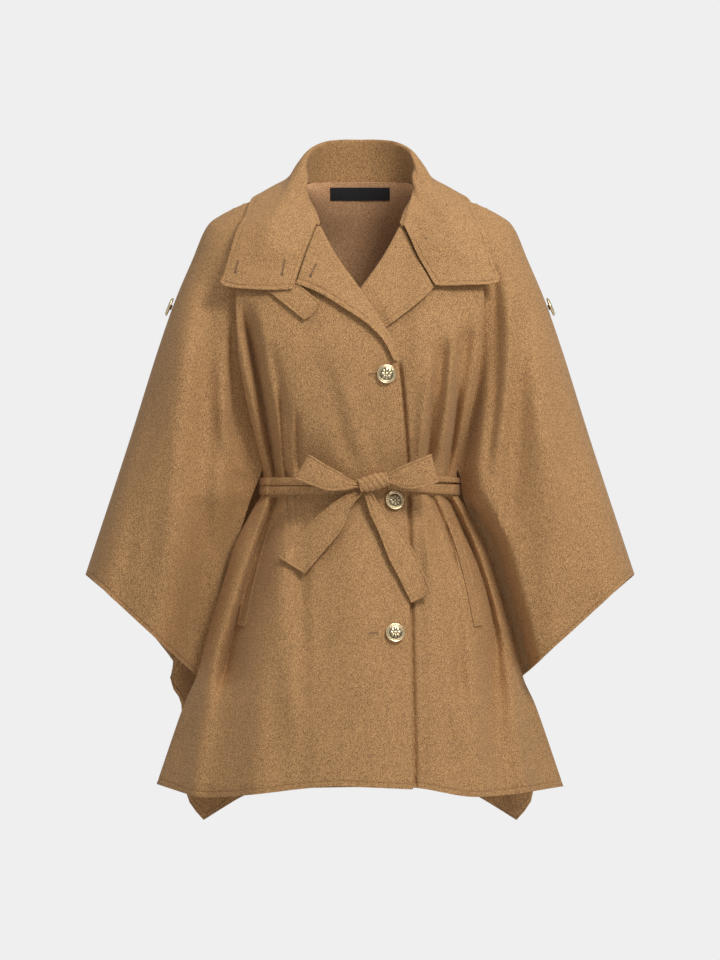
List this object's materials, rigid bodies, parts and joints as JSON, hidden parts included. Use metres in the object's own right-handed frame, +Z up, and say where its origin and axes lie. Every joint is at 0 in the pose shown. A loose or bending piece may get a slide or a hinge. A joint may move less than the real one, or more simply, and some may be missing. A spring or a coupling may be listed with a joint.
{
  "type": "wool cape coat",
  "caption": "Belted wool cape coat in its worn shape: turned-down collar and lapels, wide wing sleeves open at the hem, side slits, a tied sash belt with a bow, and domed metal buttons.",
  "frame": {"origin": "between the wearer's shoulders, at the height where the cape rests on them", "axes": "+Z up, -Y the way the wearer faces, +X the wearer's left"},
  "size_m": [0.714, 0.3429, 0.8841],
  "materials": {
    "wool": "brushed wool",
    "wool_dark": "brushed wool, in shade",
    "label_cloth": "woven satin",
    "brass": "polished"
  },
  "bodies": {
    "root": {"front_right": "wool", "front_left": "wool", "back": "wool", "collar": "wool", "lapel_right": "wool", "lapel_left": "wool", "throat_tab": "wool", "label": "label_cloth", "pocket_welt_right": "wool_dark", "pocket_welt_left": "wool_dark", "belt_right_upper": "wool", "belt_right_lower": "wool", "belt_left_upper": "wool", "belt_left_lower": "wool", "belt_back": "wool", "bow_knot": "wool", "bow_loop_right": "wool", "bow_loop_left": "wool", "bow_tail_right": "wool", "bow_tail_left": "wool", "button_top": "brass", "button_middle": "brass", "button_bottom": "brass", "shoulder_button_right": "brass", "shoulder_button_left": "brass"}
  },
  "joints": []
}
